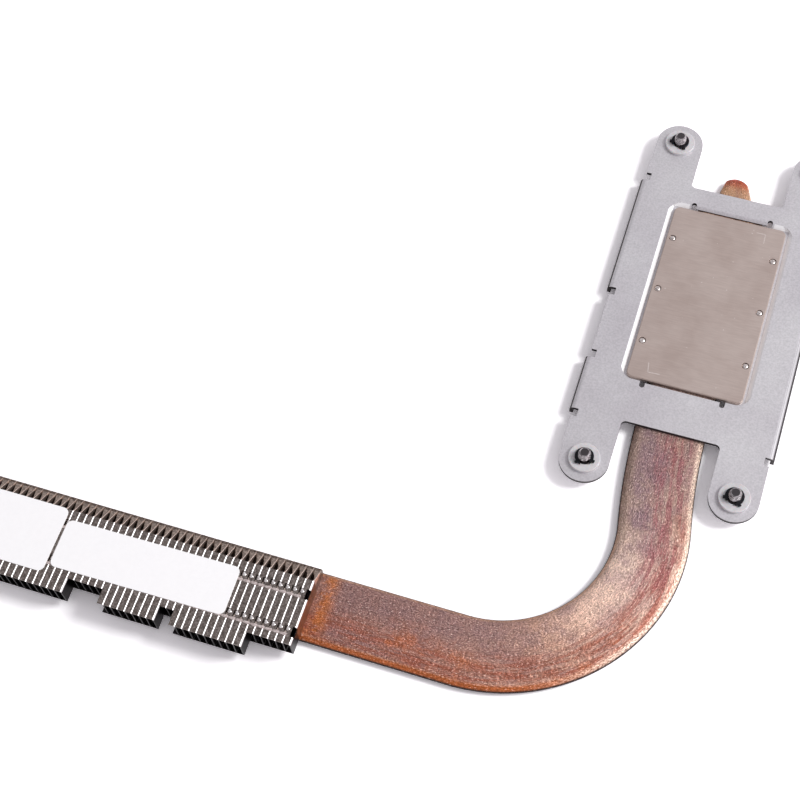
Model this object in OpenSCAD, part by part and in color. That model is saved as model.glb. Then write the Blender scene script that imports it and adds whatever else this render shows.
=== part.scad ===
// CPU heatsink of a laptop, lying with its contact plate up.
// Origin: centre of the four screws, on the plane of the heat pipe's underside.
// +X points away from the fin stack, +Y to the pipe's sealed tip, +Z up. Millimetres.

/* [Heat pipe] */
// Width of the flattened pipe
pipe_w = 11.3; // [9:0.1:12]
// Thickness of the flattened pipe
pipe_t = 2.0; // [1.6:0.1:3]
// Distance of the pipe's axis left of the screws' centre line
pipe_off = 0.2; // [0:0.1:1]
// Centre line radius of the main bend
bend_r = 23.4; // [20:0.2:28]
// Centre line radius of the slight lead bend next to the bracket
lead_r = 105; // [80:1:140]
// Angle of the lead bend
lead_angle = 10; // [4:1:14]
// Straight length from the bracket's edge, inwards, before the lead bend ends
lead_inset = 2.3; // [0:0.1:6]
// Straight length between the main bend and the fin stack
neck_gap = 23; // [18:0.5:30]
// Width of the sealed tip at its neck
tip_w = 5.4; // [4:0.1:7]
// Length of the taper from the full width to the neck
taper_l = 5.1; // [4:0.1:7]
// Distance of the neck beyond the bracket
neck_out = 1.0; // [0.5:0.1:2]
// Length of the sealed tip beyond the bracket
tip_out = 4.6; // [3:0.1:7]
// Width of the tip's nose
tip_nose_w = 2.2; // [1:0.1:3]
// Thickness of the pipe at the sealed tip's nose
tip_nose_t = 1.3; // [0.8:0.1:2]
// Sideways lean of the tip's nose
tip_lean = 0.6; // [0:0.1:1]

/* [Bracket] */
// Screw spacing across the pipe
screw_x = 23.7; // [22:0.1:28]
// Screw spacing along the pipe
screw_y = 63.1; // [60:0.1:70]
// Sheet thickness of the bracket
sheet_t = 0.6; // [0.4:0.05:1]
// Radius of the screw lugs
lug_r = 3.95; // [3.2:0.05:4.5]
// Length of the bracket's body along the pipe
body_l = 46.6; // [42:0.1:50]
// Sideways reach of the bent flanges beyond the body's edge
flange_reach = 0.65; // [0.6:0.05:1]
// Height of the bent flanges below the sheet's underside
flange_drop = 1.2; // [0.6:0.1:1.5]
// Inner radius of the flange bends
bend_in_r = 0.3; // [0.2:0.05:0.5]
// Width of the relief notches at the flange ends
relief_w = 1.4; // [0.8:0.1:2]
// Depth of the relief notches
relief_d = 0.85; // [0.6:0.05:1.2]
// Distance of the flange ends from the body's tip end
side_inset = 0.5; // [0.3:0.1:1]
// Length of the first left flange, from the tip end
flange_a_l = 22.6; // [18:0.1:25]
// Length of the unflanged stretch on the left side
plain_l = 10.9; // [8:0.1:13]
// Fillet radius in the corners beside the lugs
lug_fillet_r = 0.8; // [0.3:0.1:1.5]

/* [Contact plate] */
// Width of the contact plate
plate_w = 18.9; // [16:0.1:20]
// Length of the contact plate
plate_l = 34; // [30:0.1:36]
// Thickness of the contact plate
plate_t = 0.7; // [0.6:0.05:1.5]
// Shift of the plate's centre towards the tip
plate_shift = 1.75; // [0:0.05:2]
// Corner radius of the plate
plate_r = 1.0; // [0.5:0.1:2]
// Bevel along the plate's upper edges
plate_bevel = 0.1; // [0.05:0.05:0.3]
// Clearance between the plate and the pocket on three sides
pocket_gap = 0.35; // [0.2:0.05:0.6]
// Clearance between the plate and the pocket's end towards the bend
pocket_gap_near = 0.15; // [0.1:0.05:0.4]
// Sideways run of the pocket's formed walls
pocket_run = 0.7; // [0.5:0.05:1]
// Sideways run of the pocket's wall towards the bend
pocket_run_near = 0.25; // [0.1:0.05:0.6]
// Corner radius of the pocket
pocket_r = 2.6; // [1.5:0.1:4]
// Clearance between the pipe and the ledges
ledge_gap = 0.2; // [0.1:0.05:0.5]
// Clearance between the plate and the cross members
cross_gap = 0.6; // [0.4:0.05:1]
// Width of the relief slots at the ledge ends
slot_w = 0.85; // [0.6:0.05:1.2]
// Length of the relief slots into the cross members
slot_l = 0.9; // [0.5:0.1:2]
// Radius of the clinched stakes
stake_r = 0.6; // [0.4:0.05:0.8]
// Depth of the dimple on each stake
stake_pit = 0.3; // [0.1:0.05:0.5]
// Spacing of the stakes along the plate
stake_pitch = 10.3; // [8:0.1:11]
// Distance of the stake rows from the plate's side edges
stake_inset = 1.0; // [0.9:0.05:1.6]
// Shift of the stakes' middle towards the tip, from the plate's centre
stake_shift = 0.25; // [0:0.05:0.5]
// Reach of the stakes below the ledges
stake_reach = 0.2; // [0.1:0.05:0.4]
// Running clearance round the stakes
stake_gap = 0.03; // [0.02:0.01:0.06]

/* [Screws] */
// Thread radius of the screws
screw_r = 1.0; // [0.9:0.05:1.1]
// Radius of the screws' shank, between head and ring
shank_r = 1.2; // [1.15:0.05:1.3]
// Clearance of the shanks in the lugs
hole_gap = 0.25; // [0.15:0.05:0.4]
// Height of the screw tips above the washers
tip_h = 1.8; // [1.2:0.1:3]
// Radius of the screw heads
head_r = 1.9; // [1.6:0.1:2.2]
// Height of the screw heads
head_h = 0.9; // [0.7:0.05:1]
// Bevel round the screw heads and the screw tips
screw_bevel = 0.3; // [0.1:0.05:0.4]
// Width of the cross recess in the screw heads
recess_w = 0.4; // [0.3:0.05:0.5]
// Axial play of the captive screws
screw_play = 0.6; // [0.4:0.05:0.7]
// Outer radius of the plastic washers
washer_r = 2.5; // [2.2:0.1:3]
// Thickness of the plastic washers
washer_t = 0.6; // [0.4:0.05:0.8]
// Outer radius of the retaining rings
ring_r = 1.5; // [1.3:0.05:1.8]
// Thickness of the retaining rings
ring_t = 0.4; // [0.3:0.05:0.5]
// Width of the retaining rings' outer band
ring_band = 0.45; // [0.35:0.05:0.6]
// Width of the retaining rings' inner prongs
prong_w = 0.6; // [0.4:0.05:0.8]
// Reach of the ears at the retaining rings' open ends
ear_reach = 0.3; // [0.2:0.05:0.4]
// Width of the ears
ear_w = 0.4; // [0.3:0.05:0.6]
// Angle between the middle of the mouth and each ear
ear_angle = 56; // [50:1:65]
// Depth of the ring groove in the screw
groove_d = 0.25; // [0.2:0.05:0.4]
// Running clearance round the rings and washers
ring_gap = 0.04; // [0.02:0.01:0.08]

/* [Fin stack] */
// Number of fins
fin_count = 60; // [50:1:64]
// Distance from one fin to the next
fin_pitch = 1.16; // [1:0.01:1.4]
// Sheet thickness of the fins
fin_t = 0.2; // [0.15:0.01:0.25]
// Height of the fins above the pipe
fin_h = 4.0; // [3.5:0.1:6]
// Outer radius of the fold along each fin
fold_r = 0.35; // [0.3:0.01:0.4]
// Reach of the long fins in front of the pipe's axis
front_long = 10.5; // [9.6:0.1:14]
// Reach of the short fins in front of the pipe's axis
front_short = 8.15; // [8:0.05:9.4]
// Reach of the fins behind the pipe's axis
back_reach = 5.25; // [4.5:0.05:6]
// Length of the sloped back corner
slope_l = 2.9; // [2:0.1:4]
// Height of the fins at their back edge
back_h = 1.7; // [1.2:0.1:3]
// Width of the low flange along the back edge
back_flange_w = 1.1; // [0.6:0.1:1.6]
// Gap between each flange and the next fin
fin_gap = 0.03; // [0.02:0.01:0.06]
// Length of the interlock windows along the fins
window_l = 1.6; // [1.2:0.1:2]
// Width of the interlock windows across the fins
window_w = 0.6; // [0.4:0.05:0.7]
// Height of the interlock windows down the wall
window_h = 0.8; // [0.5:0.1:1.2]
// Width of the interlock tongues along the fins
tongue_l = 0.55; // [0.4:0.05:0.7]
// Dip of the interlock tongues into the windows
tongue_dip = 0.25; // [0.15:0.05:0.3]
// Distance of the tongues from the windows' back edge
tongue_side = 0.15; // [0.1:0.05:0.5]
// Distance of the second window row in front of the pipe's axis
row_front = 6.15; // [5.5:0.05:6.6]

/* [Labels] */
// Thickness of the labels
label_t = 0.1; // [0.08:0.01:0.2]
// Length of the long label
long_label_l = 28.4; // [20:0.1:32]
// Width of the long label
long_label_w = 7.9; // [6:0.1:9]
// Distance of the long label from the stack's right end
long_label_x = 11.2; // [8:0.1:16]
// Turn of the long label
long_label_turn = 0.6; // [-2:0.1:2]
// Length of the second label
big_label_l = 17; // [12:0.1:22]
// Width of the second label
big_label_w = 10.8; // [8:0.1:11]
// Corner radius of the labels
label_r = 1.0; // [0.5:0.1:2]
// Gap between the two labels
label_gap = 0.5; // [0.3:0.1:2]
// Distance of the labels' middle in front of the pipe's axis
label_front = 3.0; // [2:0.1:4]

/* [Hidden] */
$fn = 48;
// Overlap of joined shapes, and how far cutting shapes reach past a surface
overlap = 0.01;
cut = 1;

// Levels
sheet_z = pipe_t;
sheet_top = sheet_z + sheet_t;
ledge_z = pipe_t - sheet_t;
washer_top = sheet_top + washer_t;
fin_top = pipe_t + fin_h;

// Heat pipe route, from the tip down to the fin stack
pipe_x = -pipe_off;
lead_start_y = lead_inset - body_l / 2;
lead_end_x = pipe_x + lead_r * (1 - cos(lead_angle));
lead_end_y = lead_start_y - lead_r * sin(lead_angle);
bend_x = lead_end_x - bend_r * cos(lead_angle);
bend_y = lead_end_y - bend_r * sin(lead_angle);
stack_y = bend_y - bend_r;
stack_x = bend_x - neck_gap;
stack_l = fin_count * fin_pitch;
pipe_end_x = stack_x - stack_l + fin_pitch;
body_end_y = body_l / 2;
taper_y = body_end_y + neck_out - taper_l;
tip_y = body_end_y + tip_out;

// Contact plate and its pocket
plate_y0 = plate_shift - plate_l / 2;
plate_y1 = plate_shift + plate_l / 2;
ledge_x = pipe_w / 2 + pipe_off + ledge_gap;
pocket_x = plate_w / 2 + pocket_gap;
pocket_y0 = plate_y0 - pocket_gap_near;
pocket_y1 = plate_y1 + pocket_gap;
opening_y0 = plate_y0 - cross_gap;
opening_y1 = plate_y1 + cross_gap;
stake_x = plate_w / 2 - stake_inset;
// How far the outline of the pocket's corners stands off its straight walls
pocket_slack = 0.1;

// Bracket
lug_x = screw_x / 2;
lug_y = screw_y / 2;
body_x = lug_x + lug_r;
flange_x = body_x + flange_reach;
bend_out_r = bend_in_r + sheet_t;
bend_start_x = flange_x - bend_out_r;
flange_low_z = sheet_z - flange_drop;
side_end_y = body_end_y - side_inset;
flange_a_y0 = side_end_y - flange_a_l;
plain_y0 = flange_a_y0 - relief_w - plain_l;
flange_c_y1 = plain_y0 - relief_w;
// Flanges as side, low end and high end; reliefs are the notches at their ends
flange_spans = [[-1, flange_a_y0, side_end_y], [-1, -body_end_y, flange_c_y1],
                [1, -body_end_y, side_end_y]];
relief_spans = [[-1, side_end_y, side_end_y + relief_w],
                [-1, flange_a_y0 - relief_w, flange_a_y0],
                [-1, flange_c_y1, flange_c_y1 + relief_w],
                [-1, -body_end_y - relief_w, -body_end_y],
                [1, side_end_y, side_end_y + relief_w],
                [1, -body_end_y - relief_w, -body_end_y]];

// Captive screws
head_top_z = sheet_z - screw_play - ring_gap;
head_low_z = head_top_z - head_h;
ring_z = washer_top + ring_gap / 2;
groove_r = screw_r - groove_d;
lug_hole_r = shank_r + hole_gap;
screw_tip_z = washer_top + tip_h;
screw_places = [[-lug_x, -lug_y], [lug_x, -lug_y], [-lug_x, lug_y], [lug_x, lug_y]];
ring_turns = [18, -16, -21, 20];

// Fins: first fin and number of fins in each group, and whether the group is long
last_first = 31;
half_rest = ceil((fin_count - last_first) / 2);
fin_groups = [[0, 6, false], [6, 10, true], [16, 2, false], [18, 8, true], [26, 5, false],
              [last_first, half_rest, true],
              [last_first + half_rest, fin_count - last_first - half_rest, true]];
window_rows = [0, -row_front];

// Moves to a place in a coarse and a fine step, so that joints meet to the last digit
module placed(x, y) {
    coarse = [round(x * 100) / 100, round(y * 100) / 100];
    translate([coarse[0], coarse[1], 0]) translate([x - coarse[0], y - coarse[1], 0]) children();
}

// Section of the flattened pipe, centred on its axis
module pipe_section() {
    translate([0, pipe_t / 2])
        union() {
            square([pipe_w - pipe_t, pipe_t], center = true);
            for (side = [-1, 1])
                translate([side * (pipe_w - pipe_t) / 2, 0]) circle(d = pipe_t);
        }
}

// Part of a ring with the pipe's section: its radius, first angle and sweep
module pipe_bend(r, from, sweep) {
    rotate([0, 0, from]) rotate_extrude(angle = sweep, $fn = 96)
        translate([r, 0]) pipe_section();
}

// Plan outline of the sealed tip: shoulder, neck and rounded nose
module tip_outline() {
    nose_r = tip_nose_w / 2;
    polygon([[pipe_x - pipe_w / 2, taper_y - cut],
             [pipe_x + pipe_w / 2, taper_y - cut],
             [pipe_x + pipe_w / 2, taper_y],
             [pipe_x + tip_w / 2, body_end_y + neck_out],
             [pipe_x - tip_lean + nose_r, tip_y - nose_r],
             [pipe_x - tip_lean - nose_r, tip_y - nose_r],
             [pipe_x - tip_w / 2, body_end_y + neck_out],
             [pipe_x - pipe_w / 2, taper_y]]);
    translate([pipe_x - tip_lean, tip_y - nose_r]) circle(r = nose_r);
}

// Side outline of the tip, thinned towards its nose
module tip_side() {
    low = (pipe_t - tip_nose_t) / 2;
    polygon([[taper_y - cut, 0], [body_end_y, 0], [tip_y + cut, low],
             [tip_y + cut, pipe_t - low], [body_end_y, pipe_t], [taper_y - cut, pipe_t]]);
}

module heat_pipe() {
    color("#a8694f")
    union() {
        // straight stretch under the contact plate
        placed(pipe_x, lead_start_y) rotate([90, 0, 180])
            linear_extrude(taper_y - lead_start_y) pipe_section();
        // sealed tip
        intersection() {
            placed(pipe_x, taper_y) rotate([90, 0, 180])
                linear_extrude(tip_y + cut - taper_y) pipe_section();
            linear_extrude(pipe_t) tip_outline();
            translate([pipe_x - pipe_w, 0, 0]) rotate([90, 0, 90])
                linear_extrude(2 * pipe_w) tip_side();
        }
        // lead bend and main bend
        placed(pipe_x + lead_r, lead_start_y) pipe_bend(lead_r, 180, lead_angle);
        placed(bend_x, bend_y) pipe_bend(bend_r, -90, 90 + lead_angle);
        // straight stretch under the fins
        placed(bend_x, stack_y) rotate([90, 0, -90])
            linear_extrude(bend_x - pipe_end_x) pipe_section();
    }
}

// Plan outline of the bracket's flat sheet, without its holes
module sheet_outline() {
    difference() {
        union() {
            square([2 * body_x, body_l], center = true);
            for (p = screw_places) {
                translate(p) circle(r = lug_r);
                translate([p[0] - lug_r, min(0, p[1])]) square([2 * lug_r, lug_y]);
                corner_fillet(sign(p[0]), sign(p[1]));
            }
        }
        // the flanges are bent down from these strips
        for (s = flange_spans)
            translate([s[0] > 0 ? bend_start_x : -bend_start_x - cut, s[1]])
                square([cut, s[2] - s[1]]);
        for (n = relief_spans)
            translate([n[0] > 0 ? body_x - relief_d : -body_x - cut + relief_d, n[1]])
                square([cut, n[2] - n[1]]);
    }
}

// Rounded inner corner between a lug and the cross member
module corner_fillet(sx, sy) {
    inner_x = lug_x - lug_r;
    mirror([sx < 0 ? 1 : 0, 0]) mirror([0, sy < 0 ? 1 : 0])
        difference() {
            translate([inner_x - lug_fillet_r, body_end_y - overlap]) square(lug_fillet_r + overlap);
            translate([inner_x - lug_fillet_r, body_end_y + lug_fillet_r]) circle(r = lug_fillet_r);
        }
}

// Bent flange along one side: a quarter bend and a short leg
module side_flange(side, y0, y1) {
    mirror([side < 0 ? 1 : 0, 0, 0])
    translate([bend_start_x, y1, sheet_top - bend_out_r]) rotate([90, 0, 0])
        linear_extrude(y1 - y0)
            union() {
                intersection() {
                    difference() {
                        circle(r = bend_out_r);
                        circle(r = bend_in_r);
                    }
                    square(bend_out_r);
                }
                translate([bend_in_r, flange_low_z - sheet_top + bend_out_r])
                    square([sheet_t, sheet_top - bend_out_r - flange_low_z]);
            }
}

// Tapered block: the pocket's inside, or its outside with grow = sheet thickness
module pocket_block(low_z, high_z, grow) {
    x0 = pocket_x + grow;
    x1 = pocket_x + pocket_run + grow;
    intersection() {
        translate([0, pocket_y1 + pocket_run + 2 * cut, 0]) rotate([90, 0, 0])
            linear_extrude(pocket_y1 - pocket_y0 + 4 * cut)
                polygon([[-x0, low_z], [x0, low_z], [x1, high_z], [-x1, high_z]]);
        translate([-2 * pocket_x, 0, 0]) rotate([90, 0, 90])
            linear_extrude(4 * pocket_x)
                polygon([[pocket_y0 - grow, low_z], [pocket_y1 + grow, low_z],
                         [pocket_y1 + grow + pocket_run, high_z],
                         [pocket_y0 - grow - pocket_run_near, high_z]]);
        linear_extrude(high_z + cut) pocket_corners(grow + pocket_slack);
    }
}

// Plan outline that rounds the pocket's corners; it clears the straight walls
module pocket_corners(grow) {
    w = 2 * (pocket_x + pocket_run + grow);
    low_y = pocket_y0 - pocket_run_near - grow;
    high_y = pocket_y1 + pocket_run + grow;
    translate([0, (low_y + high_y) / 2]) rounded_rect(w, high_y - low_y, pocket_r + grow);
}

// One relief slot at a corner of the opening, round-ended, running into a cross member
module relief_slot(sx, y_edge, dir) {
    x = sx * (ledge_x + slot_w / 2);
    y_end = y_edge + dir * (slot_l - slot_w / 2);
    translate([x, y_end, 0]) cylinder(d = slot_w, h = sheet_top + cut);
    translate([x - slot_w / 2, min(y_edge - dir * cut, y_end), 0])
        cube([slot_w, abs(y_end - y_edge + dir * cut), sheet_top + cut]);
}

module stake_centres() {
    for (sx = [-1, 1], k = [-1, 0, 1])
        translate([sx * stake_x, plate_shift + stake_shift + k * stake_pitch, 0]) children();
}

module bracket() {
    color("#c9c8cf")
    difference() {
        union() {
            difference() {
                translate([0, 0, sheet_z]) linear_extrude(sheet_t) sheet_outline();
                pocket_block(sheet_z, sheet_top, 0);
            }
            // ledges and formed walls, one sheet thickness lower
            difference() {
                pocket_block(ledge_z, sheet_z + overlap, sheet_t / 2);
                pocket_block(sheet_z, sheet_top, 0);
            }
            for (s = flange_spans) side_flange(s[0], s[1], s[2]);
        }
        // way for the pipe under the cross members, and the opening over it
        translate([-ledge_x, -body_l, 0]) cube([2 * ledge_x, 2 * body_l, sheet_z]);
        translate([-ledge_x, opening_y0, 0]) cube([2 * ledge_x, opening_y1 - opening_y0, sheet_top + cut]);
        for (sx = [-1, 1]) {
            relief_slot(sx, opening_y0, -1);
            relief_slot(sx, opening_y1, 1);
        }
        for (p = screw_places)
            translate([p[0], p[1], 0]) cylinder(r = lug_hole_r, h = sheet_top + cut);
        stake_centres() cylinder(r = stake_r + stake_gap, h = sheet_top);
    }
}

module cold_plate() {
    color("#b5a79f")
    difference() {
        union() {
            translate([0, plate_shift, pipe_t]) plate_body();
            stake_centres() translate([0, 0, ledge_z - stake_reach])
                cylinder(r = stake_r, h = pipe_t + plate_t / 2 - ledge_z + stake_reach);
        }
        stake_centres() translate([0, 0, pipe_t + plate_t - stake_pit])
            cylinder(r = stake_r, h = plate_t);
    }
}

// Rounded plate with a bevelled upper edge
module plate_body() {
    flat = plate_t - plate_bevel;
    linear_extrude(flat) rounded_rect(plate_w, plate_l, plate_r);
    translate([0, 0, flat]) linear_extrude(plate_bevel)
        rounded_rect(plate_w - 2 * plate_bevel, plate_l - 2 * plate_bevel, plate_r - plate_bevel);
}

module rounded_rect(w, l, r) {
    square([w - 2 * r, l], center = true);
    square([w, l - 2 * r], center = true);
    for (sx = [-1, 1], sy = [-1, 1])
        translate([sx * (w / 2 - r), sy * (l / 2 - r)]) circle(r = r);
}

// Captive screw with a cross recess in its head, its ring groove and its point
module screw(index) {
    color("#4a4a4d")
    translate([screw_places[index][0], screw_places[index][1], 0])
    difference() {
        rotate_extrude()
            polygon([[0, head_low_z], [head_r - screw_bevel, head_low_z],
                     [head_r, head_low_z + screw_bevel],
                     [head_r, head_top_z], [shank_r, head_top_z],
                     [shank_r, ring_z - ring_gap], [groove_r, ring_z - ring_gap],
                     [groove_r, ring_z + ring_t + ring_gap], [screw_r, ring_z + ring_t + ring_gap],
                     [screw_r, screw_tip_z - screw_bevel], [screw_r - screw_bevel, screw_tip_z],
                     [0, screw_tip_z]]);
        for (a = [0, 90]) rotate([0, 0, a])
            translate([-head_r / 2, -recess_w / 2, head_low_z - cut])
                cube([head_r, recess_w, cut + head_h / 2]);
    }
}

// Retaining ring: round outside, three inner prongs, an open mouth and two ears beside it
module e_ring(index) {
    hold_r = groove_r + ring_gap;
    mouth_w = 2 * (groove_r - ring_gap);
    color("#2c2c30")
    translate([screw_places[index][0], screw_places[index][1], ring_z])
    rotate([0, 0, ring_turns[index]])
    linear_extrude(ring_t)
        difference() {
            union() {
                circle(r = ring_r);
                for (side = [-1, 1]) rotate(side * ear_angle - 90)
                    translate([0, -ear_w / 2]) square([ring_r + ear_reach, ear_w]);
            }
            circle(r = hold_r);
            difference() {
                circle(r = ring_r - ring_band);
                for (a = [90, 205, 335]) rotate(a)
                    translate([0, -prong_w / 2]) square([ring_r, prong_w]);
            }
            translate([-mouth_w / 2, -ring_r - cut]) square([mouth_w, ring_r + cut]);
        }
}

module washer(index) {
    color("#f1f0ee")
    translate([screw_places[index][0], screw_places[index][1], sheet_top])
        difference() {
            cylinder(r = washer_r, h = washer_t);
            translate([0, 0, -cut]) cylinder(r = shank_r + ring_gap, h = washer_t + 2 * cut);
        }
}

// Side outline of one fin's wall, from its front edge to its sloped back corner
module fin_wall_outline(front) {
    back = stack_y + back_reach;
    polygon([[stack_y - front, pipe_t], [back, pipe_t], [back, pipe_t + back_h],
             [back - slope_l, fin_top], [stack_y - front, fin_top]]);
}

// One folded fin: wall, top flange with its fold, bottom flange, low back flange,
// and at each window a tongue that reaches over the next fin
module fin(index, long) {
    front = long ? front_long : front_short;
    back = stack_y + back_reach;
    run = fin_pitch - fin_gap;
    top_back = back - slope_l;
    translate([stack_x - index * fin_pitch, 0, 0])
    difference() {
        union() {
            // wall
            intersection() {
                translate([-fin_t, 0, 0]) rotate([90, 0, 90])
                    linear_extrude(fin_t) fin_wall_outline(front);
                translate([-run, stack_y - front - cut, 0])
                    cube([run, front + back_reach + 2 * cut, fin_top - fold_r]);
            }
            // fold and top flange
            translate([0, top_back, 0]) rotate([90, 0, 0])
                linear_extrude(top_back - stack_y + front) top_fold(run);
            // bottom flange
            translate([-run, stack_y - front, pipe_t])
                cube([run, front + back_reach, fin_t]);
            // low flange along the back edge
            translate([-run, back - back_flange_w, pipe_t + back_h - fin_t])
                cube([run, back_flange_w, fin_t]);
            // wall above the fold's foot, behind the top flange
            intersection() {
                translate([-fin_t, 0, 0]) rotate([90, 0, 90])
                    linear_extrude(fin_t) fin_wall_outline(front);
                translate([-fin_t, top_back, 0]) cube([fin_t, slope_l, fin_top]);
            }
        }
        for (row = window_rows)
            translate([-window_w, stack_y + row - window_l / 2, fin_top - window_h])
                cube([window_w + cut, window_l, window_h + cut]);
    }
    if (index < fin_count - 1)
        for (row = window_rows) tongue(index, row, run);
}

// Section of the fold and the top flange: a quarter round, then flat
module top_fold(run) {
    translate([-fold_r, fin_top - fold_r])
        intersection() {
            difference() {
                circle(r = fold_r, $fn = 24);
                circle(r = fold_r - fin_t, $fn = 24);
            }
            square(fold_r);
        }
    translate([-run, fin_top - fin_t]) square([run - fold_r, fin_t]);
}

// Interlock tongue: runs over the gap and dips into the next fin's window
module tongue(index, row, run) {
    reach = window_w - fin_gap;
    knee = fin_t - reach;
    translate([stack_x - index * fin_pitch - run,
               stack_y + row + window_l / 2 - tongue_l - tongue_side, 0])
        rotate([90, 0, 0]) mirror([0, 0, 1])
            linear_extrude(tongue_l)
                polygon([[0, fin_top - fin_t], [0, fin_top], [knee, fin_top],
                         [-reach, fin_top - tongue_dip], [-reach, fin_top - tongue_dip - fin_t],
                         [knee, fin_top - fin_t - tongue_dip / 2]]);
}

module fin_group(group) {
    first = fin_groups[group][0];
    color("#6b625c")
    for (k = [0 : fin_groups[group][1] - 1]) fin(first + k, fin_groups[group][2]);
}

module label_long() {
    color("#f6f5f3")
    translate([stack_x - long_label_x - long_label_l / 2, stack_y - label_front, fin_top])
        rotate([0, 0, long_label_turn])
            linear_extrude(label_t) rounded_rect(long_label_l, long_label_w, label_r);
}

module label_big() {
    middle_x = stack_x - long_label_x - long_label_l - label_gap - big_label_l / 2;
    color("#f4f3f1")
    translate([middle_x, stack_y - label_front, fin_top])
        linear_extrude(label_t) rounded_rect(big_label_l, big_label_w, label_r);
}

heat_pipe();
bracket();
cold_plate();
screw(0);  // screw_1
screw(1);  // screw_2
screw(2);  // screw_3
screw(3);  // screw_4
e_ring(0);  // e_ring_1
e_ring(1);  // e_ring_2
e_ring(2);  // e_ring_3
e_ring(3);  // e_ring_4
washer(0);  // washer_1
washer(1);  // washer_2
washer(2);  // washer_3
washer(3);  // washer_4
fin_group(0);  // fins_end
fin_group(1);  // fins_block_1
fin_group(2);  // fins_notch_1
fin_group(3);  // fins_block_2
fin_group(4);  // fins_notch_2
fin_group(5);  // fins_block_3
fin_group(6);  // fins_block_4
label_long();
label_big();
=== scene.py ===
import math
import bmesh
import bpy
import numpy as np
from mathutils import Matrix, Vector


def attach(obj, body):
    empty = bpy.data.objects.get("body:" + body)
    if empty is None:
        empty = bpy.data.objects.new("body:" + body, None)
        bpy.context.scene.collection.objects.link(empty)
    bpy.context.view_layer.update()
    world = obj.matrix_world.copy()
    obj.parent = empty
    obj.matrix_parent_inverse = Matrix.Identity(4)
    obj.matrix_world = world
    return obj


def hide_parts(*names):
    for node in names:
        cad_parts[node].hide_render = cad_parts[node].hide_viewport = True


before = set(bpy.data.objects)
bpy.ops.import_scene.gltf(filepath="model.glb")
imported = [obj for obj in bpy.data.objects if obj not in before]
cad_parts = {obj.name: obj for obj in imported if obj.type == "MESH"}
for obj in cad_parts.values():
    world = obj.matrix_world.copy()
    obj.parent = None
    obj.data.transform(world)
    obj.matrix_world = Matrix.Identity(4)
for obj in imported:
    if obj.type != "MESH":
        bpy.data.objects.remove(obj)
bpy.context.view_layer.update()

mm = 0.001

camera = {
    "lookAt": (-43.24, -28.67, 0.0),   # mm, the point at the picture's centre
    "distance": 260.64,                # mm
    "azimuth": 23.82,                  # degrees, from -Y towards +X
    "elevation": 61.9,                 # degrees above the table
    "roll": -6.36,                     # degrees
    "focal": 1608.0,                   # in pixels of an 800 pixel wide picture
    "pictureWidth": 800.0,
    "filmWidth": 36.0,                 # mm
    "clip": (0.01, 5.0),               # metres
}

light = {
    "target": (-0.043, -0.029, 0.0),   # metres, the point that the lamp faces
    "azimuth": 18.0,       # degrees, from +X towards +Y
    "elevation": 45.0,     # degrees
    "distance": 1.2,       # metres
    "size": 0.36,          # metres, a soft box
    "level": 0.44,         # share of the plain level that the lamp gives
    "horizon": 1.0,        # strength of the surroundings near the table, as in a white tent
    "zenith": 0.40,        # and overhead, where the camera looks in
    "rightGain": 0.55,     # the surroundings are this share brighter to the right (+X), darker to the left
    "ambientColour": (1.0, 0.965, 1.01),  # the shadows are slightly lilac
}

softEdges = {
    "mergeReach": 2e-6,    # metres, corners that lie closer become one
    "flatAngle": 0.6,      # degrees, below which two facets become one face
    "sharpAngle": 25.0,    # degrees, above which an edge is sharp and is rounded
    "narrowShare": 4,      # a face this many times smaller than the next is not blended into it
}


def toLinear(hexColour):
    # An sRGB hex colour as linear RGBA
    values = [int(hexColour[k:k + 2], 16) / 255 for k in (1, 3, 5)]
    return tuple(v / 12.92 if v <= 0.04045 else ((v + 0.055) / 1.055) ** 2.4 for v in values) + (1.0,)


def addNode(tree, kind, inputs=(), stops=(), **settings):
    # Adds a shader node. Settings are its own choices, and stops fill a colour ramp. Inputs are constants or
    # sockets to link, by name or number, or as a list in the sockets' order, which for a MapRange is
    # the value, where it starts and ends, and what it gives there
    node = tree.nodes.new("ShaderNode" + kind)
    for name, value in settings.items():
        setattr(node, name, value)
    for name, value in inputs.items() if isinstance(inputs, dict) else enumerate(inputs):
        if isinstance(value, bpy.types.NodeSocket):
            tree.links.new(value, node.inputs[name])
        else:
            node.inputs[name].default_value = value
    if stops:
        ramp = node.color_ramp.elements
        while len(ramp) < len(stops):
            ramp.new(0.5)
        for element, (place, colour) in zip(ramp, stops):
            element.position = place
            element.color = toLinear(colour)
    return node


def startMaterial(name, **values):
    # A new material with its Principled shader set to constants; returns the material, tree and shader
    material = bpy.data.materials.new(name)
    material.use_nodes = True
    tree = material.node_tree
    shader = tree.nodes["Principled BSDF"]
    for socket, value in values.items():
        shader.inputs[socket.replace("_", " ")].default_value = value
    return material, tree, shader


def perSize(sizeMm):
    # The noise scale that gives a pattern about this many millimetres wide
    return 1000.0 / sizeMm


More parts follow.
